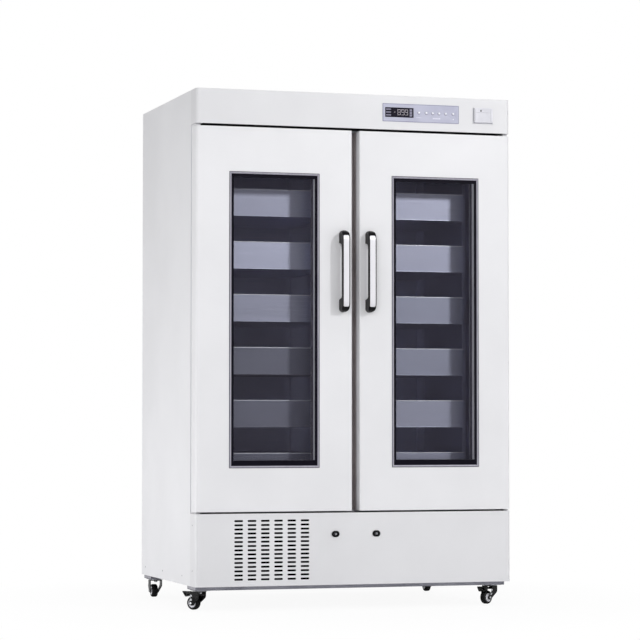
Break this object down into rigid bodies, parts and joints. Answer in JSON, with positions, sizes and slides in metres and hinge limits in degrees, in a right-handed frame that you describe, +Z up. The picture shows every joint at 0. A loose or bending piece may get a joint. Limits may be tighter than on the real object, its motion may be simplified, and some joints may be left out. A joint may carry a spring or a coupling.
{
  "type": "blood bank refrigerator",
  "caption": "Upright two-door refrigerator with glazed doors, sliding drawers behind them, a header with controls and a chart printer, a louvred base panel and braked casters.",
  "frame": {"origin": "on the floor under the centre of the bounding box, handles and pedals included", "axes": "+Z up, the doors face -Y, +X to the right seen from the front"},
  "size_m": [1.2301, 0.888, 1.9],
  "materials": {
    "cabinet_paint": "satin white powder coat",
    "foam": "rigid foam",
    "stainless": "brushed stainless sheet",
    "zinc_steel": "grey zinc plate",
    "frame_plastic": "satin grey-white",
    "panel_face": "silver-grey satin",
    "black_plastic": "satin black",
    "black_paint": "gloss black",
    "fin_aluminium": "bare fins and sheet",
    "bezel": "satin silver",
    "glass": "tinted, clear",
    "gasket": "soft grey-white",
    "grey_plastic": "dark grey satin",
    "button_plastic": "pale grey domes",
    "plug_steel": "nickel plated",
    "tyre": "black rubber on a white hub"
  },
  "bodies": {
    "cabinet": {"cabinet_shell": "cabinet_paint", "cabinet_insulation": "foam", "inner_liner": "stainless", "header_cover": "cabinet_paint", "base_panel": "cabinet_paint", "base_frame": "zinc_steel", "door_frame": "frame_plastic", "control_panel": "panel_face", "printer_housing": "frame_plastic", "hinge_brackets": "cabinet_paint", "drawer_racks": "stainless", "compressor": "black_paint", "condenser": "fin_aluminium", "evaporator": "fin_aluminium", "power_inlet": "black_plastic", "lock_barrels": "black_plastic"},
    "condenser_fan": {"condenser_fan": "black_plastic"},
    "door_left": {"door_shell_left": "cabinet_paint", "door_core_left": "frame_plastic", "window_bezel_left": "bezel", "window_glass_left": "glass", "door_gasket_left": "gasket", "door_handle_left": "grey_plastic"},
    "drawer_left_1": {"drawer_left_1": "stainless"},
    "drawer_left_2": {"drawer_left_2": "stainless"},
    "drawer_left_3": {"drawer_left_3": "stainless"},
    "drawer_left_4": {"drawer_left_4": "stainless"},
    "drawer_left_5": {"drawer_left_5": "stainless"},
    "drawer_left_6": {"drawer_left_6": "stainless"},
    "door_right": {"door_shell_right": "cabinet_paint", "door_core_right": "frame_plastic", "window_bezel_right": "bezel", "window_glass_right": "glass", "door_gasket_right": "gasket", "door_handle_right": "grey_plastic"},
    "drawer_right_1": {"drawer_right_1": "stainless"},
    "drawer_right_2": {"drawer_right_2": "stainless"},
    "drawer_right_3": {"drawer_right_3": "stainless"},
    "drawer_right_4": {"drawer_right_4": "stainless"},
    "drawer_right_5": {"drawer_right_5": "stainless"},
    "drawer_right_6": {"drawer_right_6": "stainless"},
    "button_mute": {"button_mute": "button_plastic"},
    "button_lamp": {"button_lamp": "button_plastic"},
    "button_set": {"button_set": "button_plastic"},
    "button_up": {"button_up": "button_plastic"},
    "button_down": {"button_down": "button_plastic"},
    "button_power": {"button_power": "button_plastic"},
    "printer_flap": {"printer_flap": "panel_face"},
    "lock_plug_left": {"lock_plug_left": "plug_steel"},
    "lock_plug_right": {"lock_plug_right": "plug_steel"},
    "caster_fork_front_left": {"caster_fork_front_left": "black_paint"},
    "caster_wheel_front_left": {"caster_wheel_front_left": "tyre"},
    "brake_pedal_front_left": {"brake_pedal_front_left": "black_paint"},
    "caster_fork_front_right": {"caster_fork_front_right": "black_paint"},
    "caster_wheel_front_right": {"caster_wheel_front_right": "tyre"},
    "brake_pedal_front_right": {"brake_pedal_front_right": "black_paint"},
    "caster_fork_rear_left": {"caster_fork_rear_left": "black_paint"},
    "caster_wheel_rear_left": {"caster_wheel_rear_left": "tyre"},
    "caster_fork_rear_right": {"caster_fork_rear_right": "black_paint"},
    "caster_wheel_rear_right": {"caster_wheel_rear_right": "tyre"}
  },
  "joints": [
    {"name": "door_left_hinge", "type": "hinge", "parent": "cabinet", "child": "door_left", "pos_m": [-0.598, -0.371, 1.06], "axis": [0, 0, 1], "range_deg": [-115, 0]},
    {"name": "drawer_left_1_slide", "type": "slide", "parent": "cabinet", "child": "drawer_left_1", "axis": [0, -1, 0], "range_m": [0, 0.35]},
    {"name": "drawer_left_2_slide", "type": "slide", "parent": "cabinet", "child": "drawer_left_2", "axis": [0, -1, 0], "range_m": [0, 0.35]},
    {"name": "drawer_left_3_slide", "type": "slide", "parent": "cabinet", "child": "drawer_left_3", "axis": [0, -1, 0], "range_m": [0, 0.35]},
    {"name": "drawer_left_4_slide", "type": "slide", "parent": "cabinet", "child": "drawer_left_4", "axis": [0, -1, 0], "range_m": [0, 0.35]},
    {"name": "drawer_left_5_slide", "type": "slide", "parent": "cabinet", "child": "drawer_left_5", "axis": [0, -1, 0], "range_m": [0, 0.35]},
    {"name": "drawer_left_6_slide", "type": "slide", "parent": "cabinet", "child": "drawer_left_6", "axis": [0, -1, 0], "range_m": [0, 0.35]},
    {"name": "door_right_hinge", "type": "hinge", "parent": "cabinet", "child": "door_right", "pos_m": [0.598, -0.371, 1.06], "axis": [0, 0, 1], "range_deg": [0, 115]},
    {"name": "drawer_right_1_slide", "type": "slide", "parent": "cabinet", "child": "drawer_right_1", "axis": [0, -1, 0], "range_m": [0, 0.35]},
    {"name": "drawer_right_2_slide", "type": "slide", "parent": "cabinet", "child": "drawer_right_2", "axis": [0, -1, 0], "range_m": [0, 0.35]},
    {"name": "drawer_right_3_slide", "type": "slide", "parent": "cabinet", "child": "drawer_right_3", "axis": [0, -1, 0], "range_m": [0, 0.35]},
    {"name": "drawer_right_4_slide", "type": "slide", "parent": "cabinet", "child": "drawer_right_4", "axis": [0, -1, 0], "range_m": [0, 0.35]},
    {"name": "drawer_right_5_slide", "type": "slide", "parent": "cabinet", "child": "drawer_right_5", "axis": [0, -1, 0], "range_m": [0, 0.35]},
    {"name": "drawer_right_6_slide", "type": "slide", "parent": "cabinet", "child": "drawer_right_6", "axis": [0, -1, 0], "range_m": [0, 0.35]},
    {"name": "condenser_fan_spin", "type": "hinge", "parent": "cabinet", "child": "condenser_fan", "pos_m": [-0.322, -0.223, 0.212], "axis": [0, 1, 0], "continuous": true},
    {"name": "button_mute_press", "type": "slide", "parent": "cabinet", "child": "button_mute", "axis": [0, 1, 0], "range_m": [0, 0.0008], "stiffness_N_per_m": 800},
    {"name": "button_lamp_press", "type": "slide", "parent": "cabinet", "child": "button_lamp", "axis": [0, 1, 0], "range_m": [0, 0.0008], "stiffness_N_per_m": 800},
    {"name": "button_set_press", "type": "slide", "parent": "cabinet", "child": "button_set", "axis": [0, 1, 0], "range_m": [0, 0.0008], "stiffness_N_per_m": 800},
    {"name": "button_up_press", "type": "slide", "parent": "cabinet", "child": "button_up", "axis": [0, 1, 0], "range_m": [0, 0.0008], "stiffness_N_per_m": 800},
    {"name": "button_down_press", "type": "slide", "parent": "cabinet", "child": "button_down", "axis": [0, 1, 0], "range_m": [0, 0.0008], "stiffness_N_per_m": 800},
    {"name": "button_power_press", "type": "slide", "parent": "cabinet", "child": "button_power", "axis": [0, 1, 0], "range_m": [0, 0.0008], "stiffness_N_per_m": 800},
    {"name": "printer_flap_hinge", "type": "hinge", "parent": "cabinet", "child": "printer_flap", "pos_m": [0.503, -0.39945, 1.80965], "axis": [1, 0, 0], "range_deg": [0, 95]},
    {"name": "lock_plug_left_turn", "type": "hinge", "parent": "cabinet", "child": "lock_plug_left", "pos_m": [-0.079, -0.396, 0.274], "axis": [0, 1, 0], "range_deg": [0, 90]},
    {"name": "lock_plug_right_turn", "type": "hinge", "parent": "cabinet", "child": "lock_plug_right", "pos_m": [0.079, -0.396, 0.274], "axis": [0, 1, 0], "range_deg": [0, 90]},
    {"name": "caster_fork_front_left_swivel", "type": "hinge", "parent": "cabinet", "child": "caster_fork_front_left", "pos_m": [-0.567, -0.303, 0.067], "axis": [0, 0, 1], "continuous": true},
    {"name": "caster_wheel_front_left_spin", "type": "hinge", "parent": "caster_fork_front_left", "child": "caster_wheel_front_left", "pos_m": [-0.58525, -0.28046, 0.025], "axis": [-0.7771, -0.6293, 0], "continuous": true},
    {"name": "brake_pedal_front_left_press", "type": "hinge", "parent": "caster_fork_front_left", "child": "brake_pedal_front_left", "pos_m": [-0.57455, -0.29367, 0.059], "axis": [-0.7771, -0.6293, 0], "range_deg": [0, 11]},
    {"name": "caster_fork_front_right_swivel", "type": "hinge", "parent": "cabinet", "child": "caster_fork_front_right", "pos_m": [0.567, -0.303, 0.067], "axis": [0, 0, 1], "continuous": true},
    {"name": "caster_wheel_front_right_spin", "type": "hinge", "parent": "caster_fork_front_right", "child": "caster_wheel_front_right", "pos_m": [0.54214, -0.31794, 0.025], "axis": [0.515, -0.8572, 0], "continuous": true},
    {"name": "brake_pedal_front_right_press", "type": "hinge", "parent": "caster_fork_front_right", "child": "brake_pedal_front_right", "pos_m": [0.55671, -0.30918, 0.059], "axis": [0.515, -0.8572, 0], "range_deg": [0, 11]},
    {"name": "caster_fork_rear_left_swivel", "type": "hinge", "parent": "cabinet", "child": "caster_fork_rear_left", "pos_m": [-0.567, 0.388, 0.067], "axis": [0, 0, 1], "continuous": true},
    {"name": "caster_wheel_rear_left_spin", "type": "hinge", "parent": "caster_fork_rear_left", "child": "caster_wheel_rear_left", "pos_m": [-0.567, 0.417, 0.025], "axis": [-1, 0, 0], "continuous": true},
    {"name": "caster_fork_rear_right_swivel", "type": "hinge", "parent": "cabinet", "child": "caster_fork_rear_right", "pos_m": [0.567, 0.388, 0.067], "axis": [0, 0, 1], "continuous": true},
    {"name": "caster_wheel_rear_right_spin", "type": "hinge", "parent": "caster_fork_rear_right", "child": "caster_wheel_rear_right", "pos_m": [0.567, 0.417, 0.025], "axis": [-1, 0, 0], "continuous": true}
  ],
  "couplings": [
    {"joint": "drawer_left_1_slide", "follows": "door_left_hinge", "m_per_rad": -0.17},
    {"joint": "drawer_left_2_slide", "follows": "door_left_hinge", "m_per_rad": -0.17},
    {"joint": "drawer_left_3_slide", "follows": "door_left_hinge", "m_per_rad": -0.17},
    {"joint": "drawer_left_4_slide", "follows": "door_left_hinge", "m_per_rad": -0.17},
    {"joint": "drawer_left_5_slide", "follows": "door_left_hinge", "m_per_rad": -0.17},
    {"joint": "drawer_left_6_slide", "follows": "door_left_hinge", "m_per_rad": -0.17},
    {"joint": "drawer_right_1_slide", "follows": "door_right_hinge", "m_per_rad": 0.17},
    {"joint": "drawer_right_2_slide", "follows": "door_right_hinge", "m_per_rad": 0.17},
    {"joint": "drawer_right_3_slide", "follows": "door_right_hinge", "m_per_rad": 0.17},
    {"joint": "drawer_right_4_slide", "follows": "door_right_hinge", "m_per_rad": 0.17},
    {"joint": "drawer_right_5_slide", "follows": "door_right_hinge", "m_per_rad": 0.17},
    {"joint": "drawer_right_6_slide", "follows": "door_right_hinge", "m_per_rad": 0.17}
  ]
}
